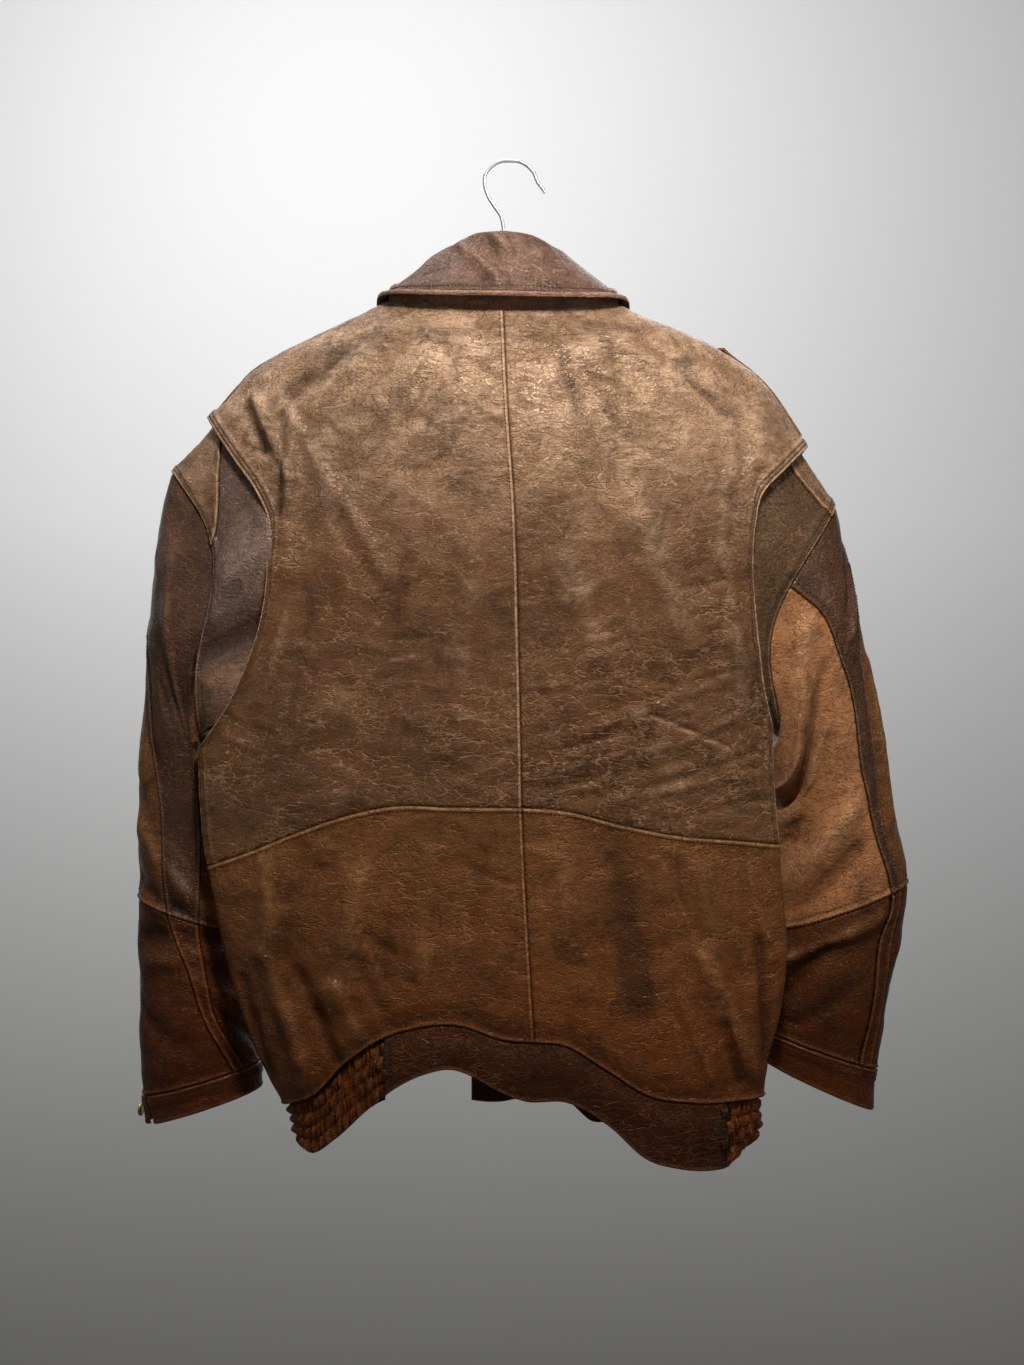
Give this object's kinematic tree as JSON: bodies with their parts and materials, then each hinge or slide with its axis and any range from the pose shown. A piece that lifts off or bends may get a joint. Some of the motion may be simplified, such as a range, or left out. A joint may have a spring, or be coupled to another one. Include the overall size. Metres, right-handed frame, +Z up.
{
  "type": "worn leather jacket on a wooden hanger",
  "caption": "Worn brown leather flight jacket with a folded collar, gathered waistband and open front, hanging by the chrome hook of a wooden hanger.",
  "frame": {"origin": "where the hanger's hook bears, at the inside top of its bend", "axes": "+Z up; the wearer's back faces -Y, the wearer's front +Y and the wearer's right +X"},
  "size_m": [0.7375, 0.156, 0.9521],
  "materials": {
    "brass": "dull",
    "chrome": "polished",
    "leather_brown": "worn, semi-matt",
    "leather_dark": "worn, semi-matt",
    "leather_olive": "worn, semi-matt",
    "leather_tan": "worn, semi-matt",
    "wood": "varnished",
    "zip_cloth": "woven tape"
  },
  "bodies": {
    "jacket": {"back_lower_left": "leather_brown", "back_lower_right": "leather_brown", "back_upper_left": "leather_olive", "back_upper_right": "leather_olive", "collar_leaf": "leather_dark", "collar_stand": "leather_dark", "cuff_left": "leather_brown", "cuff_right": "leather_brown", "cuff_snap_left": "brass", "cuff_snap_right": "brass", "epaulette_button_left": "brass", "epaulette_button_right": "brass", "epaulette_left": "leather_brown", "epaulette_right": "leather_brown", "forearm_hind_left": "leather_brown", "forearm_hind_right": "leather_brown", "forearm_outer_left": "leather_brown", "forearm_outer_right": "leather_brown", "forearm_under_left": "leather_brown", "forearm_under_right": "leather_tan", "front_left": "leather_brown", "front_right": "leather_brown", "gusset_left": "leather_dark", "gusset_right": "leather_olive", "hanger_hook": "chrome", "hanger_wood": "wood", "shoulder_cap_left": "leather_olive", "shoulder_cap_right": "leather_olive", "sleeve_hind_left": "leather_dark", "sleeve_hind_right": "leather_dark", "sleeve_outer_left": "leather_brown", "sleeve_outer_right": "leather_brown", "sleeve_under_left": "leather_brown", "sleeve_under_right": "leather_tan", "waistband_back": "leather_brown", "waistband_elastic_left": "leather_dark", "waistband_elastic_right": "leather_dark", "waistband_front_left": "leather_brown", "waistband_front_right": "leather_brown", "zip_chain_left": "brass", "zip_chain_right": "brass", "zip_retainer": "brass", "zip_slider": "brass", "zip_tape_left": "zip_cloth", "zip_tape_right": "zip_cloth"},
    "zip_pull": {"zip_pull": "brass"}
  },
  "joints": [
    {"name": "zip_pull_swing", "type": "hinge", "parent": "jacket", "child": "zip_pull", "pos_m": [-0.04664, 0.03605, -0.82079], "axis": [1, 0, 0], "range_deg": [0, 150]}
  ]
}
